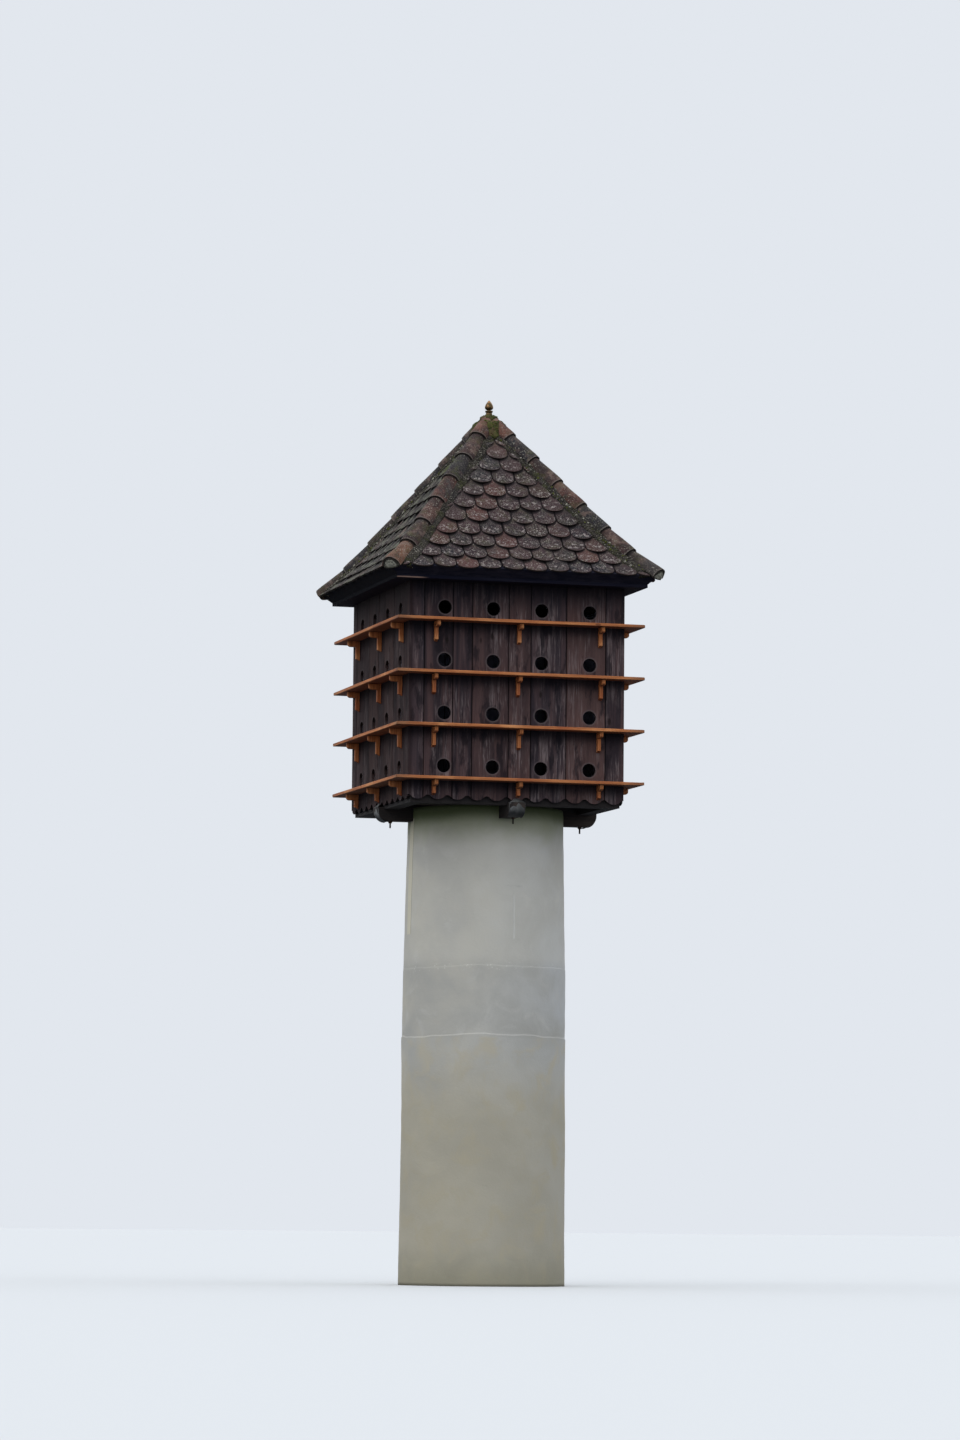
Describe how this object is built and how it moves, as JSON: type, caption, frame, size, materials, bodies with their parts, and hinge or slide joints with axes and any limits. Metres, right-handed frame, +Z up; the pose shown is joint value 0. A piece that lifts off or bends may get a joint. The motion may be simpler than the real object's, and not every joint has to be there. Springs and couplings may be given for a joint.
{
  "type": "dovecote on a masonry column",
  "caption": "Square wooden dovecote with round flight holes, landing boards and a tiled pyramid roof, carried by crossed beams on a tapered masonry column.",
  "frame": {"origin": "on the ground in the middle of the column's foot", "axes": "+Z up, -Y out of the front wall, +X to the right seen from the front"},
  "size_m": [2.4916, 2.4916, 7.6596],
  "materials": {
    "lime_plaster": "weathered lime plaster, mottled, algae under the box",
    "frame_timber": "dark stained rough-sawn timber",
    "dark_boards": "dark stained vertical boards, weathered grey along the grain",
    "floor_boards": "plain rough boards",
    "stained_larch": "orange-brown stained planed timber",
    "roof_tiles": "weathered brown clay with lichen",
    "hip_tile_clay": "weathered clay, some terracotta, some dark grey",
    "lime_mortar": "rough grey mortar with moss",
    "hood_sheet_metal": "dull grey sheet metal",
    "bolt_iron": "dark iron",
    "finial_metal": "brown weathered metal"
  },
  "bodies": {
    "root": {"column": "lime_plaster", "beam_front_to_back": "frame_timber", "beam_left_to_right": "frame_timber", "beam_bolts": "bolt_iron", "beam_hoods": "hood_sheet_metal", "sill_front": "frame_timber", "sill_right": "frame_timber", "sill_back": "frame_timber", "sill_left": "frame_timber", "bottom_floor": "floor_boards", "second_floor": "floor_boards", "third_floor": "floor_boards", "fourth_floor": "floor_boards", "post_front_right": "frame_timber", "post_back_right": "frame_timber", "post_back_left": "frame_timber", "post_front_left": "frame_timber", "wall_plate": "frame_timber", "wall_front": "dark_boards", "wall_right": "dark_boards", "wall_back": "dark_boards", "wall_left": "dark_boards", "landing_boards_row_1": "stained_larch", "landing_boards_row_2": "stained_larch", "landing_boards_row_3": "stained_larch", "landing_boards_row_4": "stained_larch", "brackets_row_1": "stained_larch", "brackets_row_2": "stained_larch", "brackets_row_3": "stained_larch", "brackets_row_4": "stained_larch", "eaves_soffit": "dark_boards", "roof_slope_front": "roof_tiles", "roof_slope_right": "roof_tiles", "roof_slope_back": "roof_tiles", "roof_slope_left": "roof_tiles", "hip_bed_front_right": "lime_mortar", "hip_bed_back_right": "lime_mortar", "hip_bed_back_left": "lime_mortar", "hip_bed_front_left": "lime_mortar", "hip_tiles_front_right": "hip_tile_clay", "hip_tiles_back_right": "hip_tile_clay", "hip_tiles_back_left": "hip_tile_clay", "hip_tiles_front_left": "hip_tile_clay", "apex_cap": "lime_mortar", "finial": "finial_metal"}
  },
  "joints": []
}
